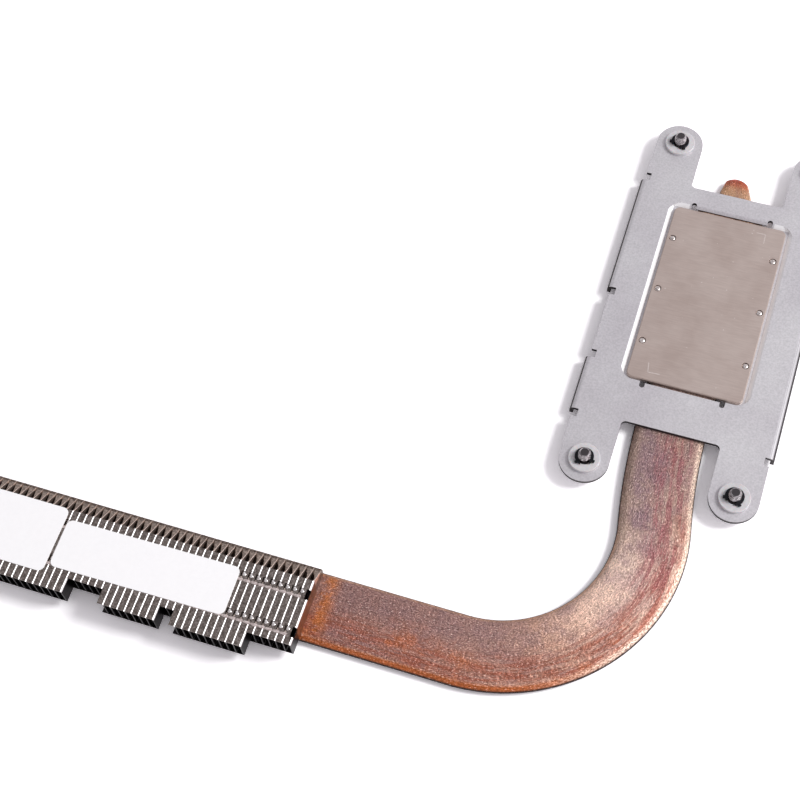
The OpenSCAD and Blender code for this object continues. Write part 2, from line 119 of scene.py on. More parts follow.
def makeCamera(spec):
    # The camera stands back from the point it looks at, and its picture is turned by the roll
    az, el, roll = (math.radians(spec[k]) for k in ("azimuth", "elevation", "roll"))
    back = Vector((math.sin(az) * math.cos(el), -math.cos(az) * math.cos(el), math.sin(el)))
    right = Vector((0, 0, 1)).cross(back).normalized()
    up = back.cross(right)
    turnedRight = math.cos(roll) * right + math.sin(roll) * up
    turnedUp = -math.sin(roll) * right + math.cos(roll) * up
    data = bpy.data.cameras.new("camera")
    data.sensor_width = spec["filmWidth"]
    data.lens = data.sensor_width * spec["focal"] / spec["pictureWidth"]
    data.clip_start, data.clip_end = spec["clip"]
    obj = bpy.data.objects.new("camera", data)
    bpy.context.scene.collection.objects.link(obj)
    place = (Vector(spec["lookAt"]) + back * spec["distance"]) * mm
    turn = Matrix((turnedRight, turnedUp, back)).transposed().to_4x4()
    obj.matrix_world = Matrix.Translation(place) @ turn
    bpy.context.scene.camera = obj


def makeLight(spec):
    # One soft box, and white surroundings as in a tent
    az, el = math.radians(spec["azimuth"]), math.radians(spec["elevation"])
    toLamp = Vector((math.cos(az) * math.cos(el), math.sin(az) * math.cos(el), math.sin(el)))
    data = bpy.data.lights.new("softBox", "AREA")
    data.size = spec["size"]
    # a lamp of power P at distance d lights the floor by P cos / (pi d d), and the plain level is pi
    data.energy = spec["level"] * (math.pi * spec["distance"]) ** 2 / toLamp.z
    obj = bpy.data.objects.new("softBox", data)
    bpy.context.scene.collection.objects.link(obj)
    place = Vector(spec["target"]) + toLamp * spec["distance"]
    obj.matrix_world = Matrix.Translation(place) @ toLamp.to_track_quat("Z", "Y").to_matrix().to_4x4()
    # for the direction (x, y, z), strength = (horizon + (zenith - horizon) * z) * (1 + rightGain * x)
    world = bpy.data.worlds.new("surroundings")
    bpy.context.scene.world = world
    world.use_nodes = True
    tree = world.node_tree
    way = addNode(tree, "SeparateXYZ", [addNode(tree, "TexCoord").outputs["Generated"]]).outputs
    level = addNode(tree, "MapRange", [way[2], 0.0, 1.0, spec["horizon"], spec["zenith"]]).outputs[0]
    right = addNode(tree, "Math", [way[0], spec["rightGain"], 1.0], operation="MULTIPLY_ADD").outputs[0]
    strength = addNode(tree, "Math", [level, right], operation="MULTIPLY").outputs[0]
    background = tree.nodes["Background"]
    background.inputs["Color"].default_value = spec["ambientColour"] + (1.0,)
    tree.links.new(strength, background.inputs["Strength"])


def finishPiece(obj, material, slot, *nodes, body="base"):
    # Gives a piece its material and body, and hides the CAD nodes it stands for; the slot is not used
    obj.data.materials.clear()
    obj.data.materials.append(material)
    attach(obj, body)
    if nodes:
        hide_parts(*nodes)
    return obj


def linkMesh(name, mesh):
    obj = bpy.data.objects.new(name, mesh)
    bpy.context.scene.collection.objects.link(obj)
    return obj


def tubePiece(name, points, uv):
    # A closed tube through rows of points in mm, capped at both ends; uv is in mm too, along and around
    # the tube, and is kept in metres
    rows, cols = points.shape[:2]
    index = np.arange(rows * cols).reshape(rows, cols)
    index = np.hstack([index, index[:, :1]])
    quads = np.stack([index[:-1, :-1], index[1:, :-1], index[1:, 1:], index[:-1, 1:]], axis=-1)
    caps = [index[0, :cols].tolist(), index[-1, :cols][::-1].tolist()]
    mesh = bpy.data.meshes.new(name)
    mesh.from_pydata((points.reshape(-1, 3) * mm).tolist(), [], quads.reshape(-1, 4).tolist() + caps)
    # the last column of the map goes one step on, instead of back to the first
    uv = np.hstack([uv, uv[:, :1]])
    uv[:, -1, 1] = uv[:, -2, 1] + (uv[:, 1, 1] - uv[:, 0, 1])
    corners = np.stack([uv[:-1, :-1], uv[1:, :-1], uv[1:, 1:], uv[:-1, 1:]], axis=2).reshape(-1, 2)
    corners = np.vstack([corners, uv[0, :cols], uv[-1, :cols][::-1]]) * mm
    layer = mesh.uv_layers.new(name="alongPiece")
    layer.data.foreach_set("uv", corners.astype(np.float32).ravel())
    mesh.update()
    mesh.validate()
    mesh.shade_smooth()
    return linkMesh(name, mesh)


def pointOutwards(obj):
    # Turns a closed mesh's faces outwards
    work = bmesh.new()
    work.from_mesh(obj.data)
    bmesh.ops.remove_doubles(work, verts=work.verts, dist=1e-7)
    bmesh.ops.recalc_face_normals(work, faces=work.faces)
    work.to_mesh(obj.data)
    work.free()
    return obj


def softCopy(nodeName, name, width=0.0, segments=2, wide=None, widthWide=0.0):
    # A merged copy of a CAD node, its sharp edges rounded by a width in mm. wide(a, b) picks the edges
    # that get widthWide instead, and without a width they stay sharp
    work = bmesh.new()
    work.from_mesh(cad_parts[nodeName].data)
    bmesh.ops.remove_doubles(work, verts=work.verts, dist=softEdges["mergeReach"])
    bmesh.ops.dissolve_limit(work, angle_limit=math.radians(softEdges["flatAngle"]), verts=work.verts,
                             edges=work.edges)
    weights = work.edges.layers.float.new("bevel_weight_edge")
    largest = max(width, widthWide)
    for face in work.faces:
        face.smooth = True
    for edge in work.edges:
        sharp = edge.calc_face_angle(0.0) > math.radians(softEdges["sharpAngle"])
        areas = sorted(face.calc_area() for face in edge.link_faces)
        # a narrow face of a round is not blended into the flat beside it
        edge.smooth = not sharp and areas[-1] < softEdges["narrowShare"] * areas[0]
        if sharp and largest:
            a, b = (v.co / mm for v in edge.verts)
            edge[weights] = (widthWide if wide and wide(a, b) else width) / largest
    mesh = bpy.data.meshes.new(name)
    work.to_mesh(mesh)
    work.free()
    obj = linkMesh(name, mesh)
    if largest:
        bevel = obj.modifiers.new("roundedEdges", "BEVEL")
        bevel.width = largest * mm
        bevel.segments = segments
        bevel.limit_method = "WEIGHT"
        bevel.harden_normals = True
    return obj


makeCamera(camera)
makeLight(light)
print("camera and light made")


# Heat pipe: a flattened tube carried along its route, with soft edges and a crimped tip

heatPipe = {
    "width": 11.3, "thick": 2.0,            # mm, as every length here
    "offset": -0.2,                         # x of the axis under the bracket
    "edgeRun": 1.75,                        # how far the rounding runs in from the side
    "edgeShare": 0.85,                      # and at most this share of half the width, at the nose
    "tipY": 27.9, "neckY": 24.3, "thinY": 23.3, "taperY": 19.2,
    "neckWidth": 5.6, "noseWidth": 3.3, "noseLean": -0.5, "noseThick": 1.35,
    "noseRound": 0.9,                       # length of the round end
    "noseEdge": 0.35,                       # share of the thickness that is left at the very end
    "leadY": -21.0, "leadRadius": 105.0, "leadAngle": 10.0,
    "bendRadius": 23.4, "neck": 23.0, "underFins": 68.44,
    "step": 0.5, "tipStep": 0.25,           # between rows
    "noseRows": 10, "leadRows": 36, "bendRows": 100,
    "sideColumns": 15, "flatColumns": 13,   # points round each side, and across the top and the bottom
}


def pipeStations(spec):
    # Rows along the route, each with its place, direction across, width and thickness; and how far along
    # the route each row lies
    x0, step, tipY, thick = spec["offset"], spec["step"], spec["tipY"], spec["thick"]

    def station(x, y, acrossX, acrossY, wide=spec["width"], high=thick):
        return np.stack(np.broadcast_arrays(x, y, acrossX, acrossY, wide, high), axis=1)

    # tip: the width falls from the full one to the neck's in a smooth step, then to a round nose, whose
    # first row isn't quite at the end, where it would have no width
    noseY = tipY - spec["noseRound"]
    turn = np.linspace(0.12, math.pi / 2, spec["noseRows"])
    y = np.concatenate([tipY - spec["noseRound"] * (1 - np.cos(turn)),
                        np.arange(noseY - 0.1, spec["taperY"], -spec["tipStep"])])
    fall = np.clip((spec["neckY"] - y) / (spec["neckY"] - spec["taperY"]), 0, 1)
    shoulder = spec["neckWidth"] + (spec["width"] - spec["neckWidth"]) * (3 * fall ** 2 - 2 * fall ** 3)
    rise = np.clip((tipY - y) / (tipY - spec["neckY"]), 0, 1)
    bell = spec["noseWidth"] + (spec["neckWidth"] - spec["noseWidth"]) * rise ** 0.9
    nose = np.sqrt(np.clip(1 - ((y - noseY) / spec["noseRound"]).clip(0) ** 2, 0.002, 1))
    pinch = np.clip((y - spec["thinY"]) / (tipY - spec["thinY"]), 0, 1)
    high = thick - (thick - spec["noseThick"]) * pinch
    high = high * (spec["noseEdge"] + (1 - spec["noseEdge"]) * nose)
    width = np.where(y > spec["neckY"], bell * nose, shoulder)
    rows = [station(x0 + spec["noseLean"] * pinch, y, 1, 0, width, high)]
    # straight, then the lead bend, the main bend and the straight under the fins
    rows.append(station(x0, np.arange(spec["taperY"], spec["leadY"], -step), 1, 0))
    a = np.radians(np.linspace(0, spec["leadAngle"], spec["leadRows"], endpoint=False))
    r, cx = spec["leadRadius"], x0 + spec["leadRadius"]
    rows.append(station(cx - r * np.cos(a), spec["leadY"] - r * np.sin(a), np.cos(a), np.sin(a)))
    last = math.radians(spec["leadAngle"])
    endX, endY = cx - r * math.cos(last), spec["leadY"] - r * math.sin(last)
    r = spec["bendRadius"]
    cx, cy = endX - r * math.cos(last), endY - r * math.sin(last)
    a = np.linspace(last, -math.pi / 2, spec["bendRows"])
    rows.append(station(cx + r * np.cos(a), cy + r * np.sin(a), np.cos(a), np.sin(a)))
    endX = cx - spec["neck"] - spec["underFins"]
    rows.append(station(np.append(np.arange(cx - step, endX, -step), endX), cy - r, 0, -1))
    rows = np.vstack(rows)
    length = np.concatenate([[0], np.cumsum(np.hypot(*np.diff(rows[:, :2], axis=0).T))])
    return rows, length


def makeHeatPipe(spec):
    # Each row is a flat oval: straight top and bottom joined by two half ellipses, z = t/2 + t/2 sin a
    rows, length = pipeStations(spec)
    half, thick = rows[:, 4:5] / 2, rows[:, 5:6]
    run = np.minimum(spec["edgeRun"], spec["edgeShare"] * half)
    a = np.linspace(math.pi / 2, -math.pi / 2, spec["sideColumns"])
    flat = np.linspace(-1, 1, spec["flatColumns"] + 2)[1:-1]
    outer = (half - run) + run * np.cos(a)                       # from top to bottom
    across = np.hstack([outer, -flat * (half - run), -outer[:, ::-1], flat * (half - run)])
    unit = np.concatenate([np.sin(a), -np.ones_like(flat), np.sin(a[::-1]), np.ones_like(flat)])
    z = thick / 2 * (1 + unit) + (spec["thick"] - thick) / 2
    x, y = (rows[:, k:k + 1] + across * rows[:, k + 2:k + 3] for k in (0, 1))
    # the map runs along the pipe, and around it as around the last row
    along = np.repeat(length[:, None], across.shape[1], 1)
    sides = [np.diff(values[-1], prepend=values[-1][-1]) for values in (across, z)]
    uv = np.stack([along, np.broadcast_to(np.cumsum(np.hypot(*sides)), along.shape)], axis=-1)
    obj = tubePiece("heatPipe", np.stack([x, y, z], axis=-1), uv)
    # for the finish: across, from -1 inside the bend to 1 outside, and along, in mm from the tip
    for name, values in (("acrossPipe", across / half), ("alongPipe", along)):
        layer = obj.data.attributes.new(name, "FLOAT", "POINT")
        layer.data.foreach_set("value", values.astype(np.float32).ravel())
    return obj


copperFinish = {
    # tone along the pipe: mm from the tip, sRGB; the paler tones through the bend, 66 to 95 mm, are partly a
    # painted highlight of the lamp
    "alongTones": (
        (0, "#B44E30"), (1.2, "#C0603C"), (2.6, "#C89C78"), (6, "#BE9C80"), (20, "#A8948A"),
        (56, "#AE9488"), (66, "#BEA292"), (76, "#DEC2B0"), (85, "#DAB8A6"), (95, "#C89E88"),
        (105, "#B48A7A"), (114, "#AC8274"), (128, "#A2786C"), (200, "#8A6258")),
    "length": 200.0,       # mm, where the last tone is
    # noises: scale along the pipe, below 1 where they are drawn out, size in mm and detail
    # sanding grit is finer, and drawn as coarse as it needs to show
    "noises": {
        "grit": (0.5, 0.19, 3.0), "cloud": (1.0, 5.0, 4.0), "blot": (1.0, 8.0, 3.0),
        "streak": (0.14, 0.9, 4.0), "lines": (0.14, 0.4, 2.0), "pits": (1.0, 0.8, 3.0)},
    "noiseRoughness": 0.7,
    # layers laid over each other: a colour, and the signals whose product is its share. A signal's four
    # numbers are where it starts and ends, and the share there. Signals: along, mm from the tip; side, -1
    # inside the bend to 1 outside; height, mm; and the noises
    "layers": (
        # purple-grey heat tint in soft clouds, stronger on the inner side after the bend
        ("#8E7276", (("cloud", 0.40, 0.66, 0.0, 0.5),)),
        ("#8C6E6C", (("along", 90, 102, 0.0, 0.5), ("side", 0.4, -0.4, 0.0, 1.0))),
        # duller on the inner side of the leg and of the first half of the bend
        ("#9A8478", (("side", 0.3, -0.5, 0.0, 0.5), ("along", 78, 62, 0.0, 1.0),
                     ("along", 40, 46, 0.0, 1.0))),
        # purple-grey down the leg, beside a tan strip on its inner side
        ("#8A7076", (("side", -0.85, -0.55, 0.0, 1.0), ("side", 0.4, -0.1, 0.0, 1.0),
                     ("along", 80, 66, 0.0, 1.0), ("along", 42, 48, 0.0, 1.0),
                     ("cloud", 0.36, 0.60, 0.3, 0.85))),
        # redder copper on the outer half, from the bend on, drawn out in streaks
        ("#A05C48", (("side", -0.3, 0.5, 0.0, 1.0), ("along", 60, 78, 0.0, 1.0),
                     ("streak", 0.38, 0.60, 0.15, 0.9))),
        # red-purple streaks to the right of the middle of the leg
        ("#93565C", (("side", -0.5, 0.1, 0.0, 1.0), ("side", 0.9, 0.6, 0.1, 1.0),
                     ("along", 45, 54, 0.2, 1.0), ("along", 88, 70, 0.0, 1.0),
                     ("streak", 0.40, 0.62, 0.1, 0.75))),
        # orange in blots where the tint has worn through, mostly outside, and an orange band beside the fins
        ("#B8663A", (("blot", 0.52, 0.68, 0.0, 1.0), ("side", -0.5, 0.4, 0.1, 0.85),
                     ("along", 64, 96, 0.2, 0.8))),
        ("#C07440", (("along", 127, 129.6, 0.0, 1.0), ("cloud", 0.42, 0.58, 0.1, 0.9))),
        # rims: bare tan inside, cream outside as a painted highlight of the lamp, orange after the bend, and
        # painted shade on the edges
        ("#B88C6C", (("side", -0.86, -0.94, 0.0, 1.0), ("along", 66, 74, 0.1, 0.6))),
        # a painted highlight: cream along the outer rim
        ("#F0D6C2", (("side", 0.80, 0.92, 0.0, 1.0), ("along", 44, 60, 0.8, 1.0),
                     ("grit", 0.42, 0.56, 0.2, 1.0))),
        ("#B8663A", (("side", 0.80, 0.90, 0.0, 1.0), ("along", 84, 100, 0.0, 1.0))),
        # painted shade: a dark line along the inner edge
        ("#5A4036", (("side", -0.95, -0.98, 0.0, 0.9),)),
        # painted shade: nearly black low down on the sides, from about 40 mm along
        ("#2A1712", (("height", 1.55, 1.25, 0.0, 1.0), ("along", 34, 40, 0.0, 1.0))),
    ),
    # noises that make it darker and paler: the factors at the two ends of the range
    "factors": (("grit", 0.42, 1.58), ("lines", 0.84, 1.16), ("pits", 0.84, 1.16)),
    "factorRange": (0.3, 0.7),
    "sparkle": ("#FFF0E4", 0.60, 0.70, 0.6),   # single grains painted pale as glints, a painted highlight: start and end in the grit, share
    "roughness": (52, 76, 0.55, 0.36),         # mm from the tip, and what it is there: the leg is dullest
    "bumpHeight": 0.14,                        # mm
}


def sandedCopper(spec):
    # Copper tube, flattened, soldered and sanded: heat tints and bare edges in a grit, with painted
    # highlights and painted shade
    material, tree, shader = startMaterial("sandedCopper", Metallic=0.8, Roughness=0.36)
    place = addNode(tree, "UVMap", uv_map="alongPiece").outputs["UV"]
    along = addNode(tree, "Attribute", attribute_name="alongPipe").outputs["Fac"]
    height = addNode(tree, "SeparateXYZ", [addNode(tree, "TexCoord").outputs["Object"]]).outputs[2]
    signals = {
        "along": along,
        "side": addNode(tree, "Attribute", attribute_name="acrossPipe").outputs["Fac"],
        "height": addNode(tree, "Math", [height, mm], operation="DIVIDE").outputs[0],
    }
    for name, (drawn, sizeMm, detail) in spec["noises"].items():
        vector = addNode(tree, "Mapping", {"Vector": place, "Scale": (drawn, 1.0, 1.0)}).outputs["Vector"]
        noise = addNode(tree, "TexNoise", {"Vector": vector, "Scale": perSize(sizeMm), "Detail": detail,
                                           "Roughness": spec["noiseRoughness"]})
        signals[name] = noise.outputs["Fac"]
    share = addNode(tree, "Math", [along, spec["length"]], operation="DIVIDE").outputs[0]
    stops = [(at / spec["length"], tone) for at, tone in spec["alongTones"]]
    body = addNode(tree, "ValToRGB", [share], stops).outputs["Color"]
    for colour, masks in spec["layers"]:
        share = 1.0
        for signal, *limits in masks:
            part = addNode(tree, "MapRange", [signals[signal], *limits], interpolation_type="SMOOTHSTEP")
            share = addNode(tree, "Math", [share, part.outputs[0]], operation="MULTIPLY").outputs[0]
        body = addNode(tree, "Mix", {0: share, 6: body, 7: toLinear(colour)}, data_type="RGBA").outputs[2]
    factor = 1.0
    for signal, *ends in spec["factors"]:
        part = addNode(tree, "MapRange", [signals[signal], *spec["factorRange"], *ends]).outputs[0]
        factor = addNode(tree, "Math", [factor, part], operation="MULTIPLY").outputs[0]
    body = addNode(tree, "VectorMath", {0: body, "Scale": factor}, operation="SCALE").outputs[0]
    pale, start, end, most = spec["sparkle"]
    glintShare = addNode(tree, "MapRange", [signals["grit"], start, end, 0.0, most]).outputs[0]
    body = addNode(tree, "Mix", {0: glintShare, 6: body, 7: toLinear(pale)}, data_type="RGBA").outputs[2]
    tree.links.new(body, shader.inputs["Base Color"])
    dull = addNode(tree, "MapRange", [along, *spec["roughness"]])
    tree.links.new(dull.outputs[0], shader.inputs["Roughness"])
    rough = addNode(tree, "Math", [signals["grit"], signals["pits"]], operation="ADD").outputs[0]
    bump = addNode(tree, "Bump", {"Height": rough, "Strength": 1.0, "Distance": spec["bumpHeight"] * mm})
    tree.links.new(bump.outputs["Normal"], shader.inputs["Normal"])
    return material


finishPiece(makeHeatPipe(heatPipe), sandedCopper(copperFinish), "copper", "heat_pipe")
print("heat pipe made")


# Bracket, contact plate, washers, rings and labels: soft-edged copies of the CAD solids

bracketFinish = {
    "tones": ((0.3, "#D0CFD1"), (0.7, "#E4E2E5")), "toneMm": 0.3,
    "shades": ((0.3, "#F2F0F2"), (0.7, "#FFFFFF")), "shadeMm": 9.0,
    # the dark upright faces and the grey right fold are painted shade, and the near-white walls a painted
    # highlight
    "cutEdge": "#3A3637", "rubbedFold": "#A4A2A5", "drawnWall": "#FAFAFB",
    "metallic": 0.6, "wallMetallic": 0.25,
    "cutRise": (0.3, 0.78),             # a face gets painted shade below this rise of its normal, on the sheet and past the side folds, which lie this far from the middle, in mm
    "sideFolds": (13.8, 14.0),          # past the side folds, which lie this far from the middle, in mm
    "foldX": 13.2, "foldRise": 0.985,   # the right fold is painted grey past this x, where its normal leans: painted shade
    # the drawn walls: the middle and the reach of their height and of their places across and along, mm
    "wallHeight": (2.32, 0.26), "wallAcross": (9.0, 1.8), "wallAlong": (1.85, 19.0),
    "edgeRound": 0.2, "rimRound": 0.3, "roundSteps": 3,     # mm, and facets in each round
    # the pocket's long rims: from and to across and along, and above this height
    "rimAcross": (7.2, 11.0), "rimAlong": (-17.0, 21.0), "rimAbove": 2.3,
}

plateFinish = {
    "tones": ((0.3, "#C4B5AD"), (0.7, "#CCBDB5")), "grainMm": 0.22,
    "grainScale": (0.1, 1.0, 1.0),      # the grain is drawn out ten times across the plate
    "shades": ((0.35, "#F2EFEE"), (0.65, "#FFFFFF")), "shadeMm": 5.0,
    "nick": "#EDE6E2", "nickMm": 0.5, "nickLimits": (0.77, 0.82, 0.0, 0.7),
    "edgeRound": 0.06,                  # mm
}


def rolledSheet(spec):
    # Rolled aluminium sheet, stamped and left bare: pale, matt and finely mottled, with painted shade on the
    # upright faces and the side folds, and a painted highlight on the walls that the punch drew down round
    # the plate
    material, tree, shader = startMaterial("rolledSheet", Metallic=spec["metallic"], Roughness=0.42)
    place = addNode(tree, "TexCoord").outputs["Object"]
    x, y, z = addNode(tree, "SeparateXYZ", [place]).outputs
    fine = addNode(tree, "TexNoise", {"Vector": place, "Scale": perSize(spec["toneMm"]), "Detail": 3.0})
    broad = addNode(tree, "TexNoise", {"Vector": place, "Scale": perSize(spec["shadeMm"]), "Detail": 2.0})
    tone = addNode(tree, "ValToRGB", [fine.outputs["Fac"]], spec["tones"])
    shade = addNode(tree, "ValToRGB", [broad.outputs["Fac"]], spec["shades"])
    colour = addNode(tree, "Mix", {0: 1.0, 6: tone.outputs["Color"], 7: shade.outputs["Color"]},
                     data_type="RGBA", blend_type="MULTIPLY").outputs[2]
    # painted shade on the faces that stand upright, the punched edges among them, and on the outside of the
    # side folds
    beside = addNode(tree, "Math", [x], operation="ABSOLUTE").outputs[0]
    folds = [limit * mm for limit in spec["sideFolds"]]
    steepest = addNode(tree, "MapRange", [beside, *folds, *spec["cutRise"]]).outputs[0]
    normal = addNode(tree, "NewGeometry").outputs["True Normal"]
    rise = addNode(tree, "SeparateXYZ", [normal]).outputs[2]
    cut = addNode(tree, "Math", [rise, 0.0, steepest], operation="COMPARE").outputs[0]
    # painted shade: the right fold is grey where it starts to turn down
    turned = addNode(tree, "Math", [rise, spec["foldRise"]], operation="LESS_THAN").outputs[0]
    outside = addNode(tree, "Math", [x, spec["foldX"] * mm], operation="GREATER_THAN").outputs[0]
    foldShadeShare = addNode(tree, "Math", [turned, outside], operation="MULTIPLY").outputs[0]
    # a painted highlight, near white, on the walls, which lie below the sheet's top face and above the
    # ledges, on both sides of the slots
    wall = 1.0
    for value, limits in ((z, "wallHeight"), (beside, "wallAcross"), (y, "wallAlong")):
        middle, reach = spec[limits]
        near = addNode(tree, "Math", [value, middle * mm, reach * mm], operation="COMPARE").outputs[0]
        wall = addNode(tree, "Math", [wall, near], operation="MULTIPLY").outputs[0]
    for share, tint in ((foldShadeShare, "rubbedFold"), (cut, "cutEdge"), (wall, "drawnWall")):
        colour = addNode(tree, "Mix", {0: share, 6: colour, 7: toLinear(spec[tint])},
                         data_type="RGBA").outputs[2]
    tree.links.new(colour, shader.inputs["Base Color"])
    metal = addNode(tree, "MapRange", [wall, 0.0, 1.0, spec["metallic"], spec["wallMetallic"]]).outputs[0]
    tree.links.new(metal, shader.inputs["Metallic"])
    bump = addNode(tree, "Bump", {"Height": fine.outputs["Fac"], "Strength": 0.12, "Distance": 0.03 * mm})
    tree.links.new(bump.outputs["Normal"], shader.inputs["Normal"])
    return material


def nickelPlate(spec):
    # Nickel-plated copper, ground flat: warm grey with a short grain across the plate and a few pale nicks
    material, tree, shader = startMaterial("nickelPlate", Metallic=0.6, Roughness=0.38)
    place = addNode(tree, "TexCoord").outputs["Object"]
    grain = addNode(tree, "Mapping", {"Vector": place, "Scale": spec["grainScale"]}).outputs["Vector"]
    lines = addNode(tree, "TexNoise", {"Vector": grain, "Scale": perSize(spec["grainMm"]), "Detail": 1.0})
    broad = addNode(tree, "TexNoise", {"Vector": place, "Scale": perSize(spec["shadeMm"]), "Detail": 3.0})
    dots = addNode(tree, "TexNoise", {"Vector": place, "Scale": perSize(spec["nickMm"]), "Detail": 1.0})
    tone = addNode(tree, "ValToRGB", [lines.outputs["Fac"]], spec["tones"])
    shade = addNode(tree, "ValToRGB", [broad.outputs["Fac"]], spec["shades"])
    colour = addNode(tree, "Mix", {0: 1.0, 6: tone.outputs["Color"], 7: shade.outputs["Color"]},
                     data_type="RGBA", blend_type="MULTIPLY").outputs[2]
    nick = addNode(tree, "MapRange", [dots.outputs["Fac"], *spec["nickLimits"]]).outputs[0]
    colour = addNode(tree, "Mix", {0: nick, 6: colour, 7: toLinear(spec["nick"])},
                     data_type="RGBA").outputs[2]
    tree.links.new(colour, shader.inputs["Base Color"])
    bump = addNode(tree, "Bump", {"Height": lines.outputs["Fac"], "Strength": 0.07, "Distance": 0.03 * mm})
    tree.links.new(bump.outputs["Normal"], shader.inputs["Normal"])
    return material


def plainFinish(name, dark, pale, sizeMm, **values):
    # A finish with one fine mottle between two close colours
    material, tree, shader = startMaterial(name, **values)
    place = addNode(tree, "TexCoord").outputs["Object"]
    fine = addNode(tree, "TexNoise", {"Vector": place, "Scale": perSize(sizeMm), "Detail": 3.0})
    tone = addNode(tree, "ValToRGB", [fine.outputs["Fac"]], [(0.35, dark), (0.65, pale)])
    tree.links.new(tone.outputs["Color"], shader.inputs["Base Color"])
    bump = addNode(tree, "Bump", {"Height": fine.outputs["Fac"], "Strength": 0.1, "Distance": 0.03 * mm})
    tree.links.new(bump.outputs["Normal"], shader.inputs["Normal"])
    return material


def atPocketRim(a, b):
    # Whether an edge from a to b, in mm, lies on one of the pocket's long rims
    inner, outer = bracketFinish["rimAcross"]
    front, back = bracketFinish["rimAlong"]
    return all(inner <= abs(v.x) < outer and front < v.y < back and v.z > bracketFinish["rimAbove"]
               for v in (a, b))


bracketSheet = softCopy("bracket", "bracketSheet", bracketFinish["edgeRound"], bracketFinish["roundSteps"],
                        atPocketRim, bracketFinish["rimRound"])
finishPiece(bracketSheet, rolledSheet(bracketFinish), "sheet_metal", "bracket")
contactPlate = softCopy("cold_plate", "contactPlate", plateFinish["edgeRound"])
finishPiece(contactPlate, nickelPlate(plateFinish), "nickel_plate", "cold_plate")
print("bracket and plate made")


captiveScrew = {
    "cutZ": 3.68, "tipZ": 5.0,          # mm, where the thread begins and ends
    "radius": 1.0, "depth": 0.16,       # mm, thread
    "pitch": 0.4,                       # mm, M2
    "tipRadius": 0.62, "chamfer": 0.36,
    "around": 32, "rows": 24,           # points of the thread's surface
    "tones": ((0.35, "#6A6668"), (0.65, "#CCC7C8")), "toneMm": 0.3,
    "sheared": "#625E60", "shearedFrom": (0.05, 0.02),      # the tip's face: mm below the very end
}


def turnedSteel(spec):
    # Turned steel screw: a fine mottle of dark and bright steel, and darker on the tip's flat face
    material, tree, shader = startMaterial("turnedSteel", Metallic=1.0, Roughness=0.2)
    place = addNode(tree, "TexCoord").outputs["Object"]
    fine = addNode(tree, "TexNoise", {"Vector": place, "Scale": perSize(spec["toneMm"]), "Detail": 3.0})
    tone = addNode(tree, "ValToRGB", [fine.outputs["Fac"]], spec["tones"])
    # Object coordinates ride with the screw when it is lifted
    height = addNode(tree, "SeparateXYZ", [place]).outputs[2]
    limits = [(spec["tipZ"] - below) * mm for below in spec["shearedFrom"]]
    sheared = addNode(tree, "MapRange", [height, *limits]).outputs[0]
    colour = addNode(tree, "Mix", {0: sheared, 6: tone.outputs["Color"], 7: toLinear(spec["sheared"])},
                     data_type="RGBA").outputs[2]
    tree.links.new(colour, shader.inputs["Base Color"])
    bump = addNode(tree, "Bump", {"Height": fine.outputs["Fac"], "Strength": 0.3, "Distance": 0.05 * mm})
    tree.links.new(bump.outputs["Normal"], shader.inputs["Normal"])
    return material


def addThread(obj, spec):
    # Cuts the screw above its groove and sets a threaded end on it:
    # r = radius - depth * |2 frac(z / pitch - turn) - 1|, closed in to the tip by the chamfer
    work = bmesh.new()
    work.from_mesh(obj.data)
    everything = work.verts[:] + work.edges[:] + work.faces[:]
    cut = bmesh.ops.bisect_plane(work, geom=everything, plane_co=(0, 0, spec["cutZ"] * mm),
                                 plane_no=(0, 0, 1), clear_outer=True)
    bmesh.ops.edgeloop_fill(work, edges=[e for e in cut["geom_cut"] if isinstance(e, bmesh.types.BMEdge)])
    centre = sum((v.co for v in work.verts), Vector()) / len(work.verts)
    rows, around = spec["rows"], spec["around"]
    a = np.linspace(0, 2 * math.pi, around + 1)[:-1][None]
    z = np.linspace(spec["cutZ"], spec["tipZ"], rows)[:, None]
    wave = np.abs(2 * ((z / spec["pitch"] - a / (2 * math.pi)) % 1.0) - 1)
    inner = np.clip((z - (spec["tipZ"] - spec["chamfer"])) / spec["chamfer"], 0, 1)
    r = np.minimum(spec["radius"] - spec["depth"] * wave,
                   spec["radius"] + (spec["tipRadius"] - spec["radius"]) * inner)
    x, y = r * np.cos(a) * mm + centre.x, r * np.sin(a) * mm + centre.y
    points = np.stack([x, y, np.broadcast_to(z * mm, r.shape)], axis=-1)
    index = np.arange(rows * around).reshape(rows, around)
    index = np.hstack([index, index[:, :1]])
    quads = np.stack([index[:-1, :-1], index[:-1, 1:], index[1:, 1:], index[1:, :-1]], axis=-1).reshape(-1, 4)
    ends = [index[0, around - 1::-1].tolist(), index[-1, :around].tolist()]
    thread = bpy.data.meshes.new("thread")
    thread.from_pydata(points.reshape(-1, 3).tolist(), [], quads.tolist() + ends)
    thread.polygons.foreach_set("use_smooth", [True] * len(quads) + [False] * len(ends))
    work.from_mesh(thread)
    work.to_mesh(obj.data)
    work.free()
    bpy.data.meshes.remove(thread)
    return obj


steel = turnedSteel(captiveScrew)
# spring steel, blued and oiled: nearly black with a soft shine
springSteel = plainFinish("oiledSpringSteel", "#1E1E22", "#2C2C30", 0.2, Metallic=0.8, Roughness=0.4)
# moulded nylon: milky white and a little see-through at its edges
nylon = plainFinish("whiteNylon", "#C8C6C8", "#D2D0D2", 0.6, Roughness=0.45, Subsurface_Weight=0.1,
                    Subsurface_Scale=0.0005)
for k in (1, 2, 3, 4):
    finishPiece(softCopy("washer_%d" % k, "washer%d" % k, 0.1, 3), nylon, "washer_plastic", "washer_%d" % k)
    finishPiece(softCopy("e_ring_%d" % k, "retainingRing%d" % k, 0.06), springSteel, "ring_steel",
                "e_ring_%d" % k, body="ring_%d" % k)
    screw = addThread(softCopy("screw_%d" % k, "captiveScrew%d" % k), captiveScrew)
    finishPiece(screw, steel, "screw_steel", "screw_%d" % k, body="captive_screw_%d" % k)
print("screws, rings and washers made")


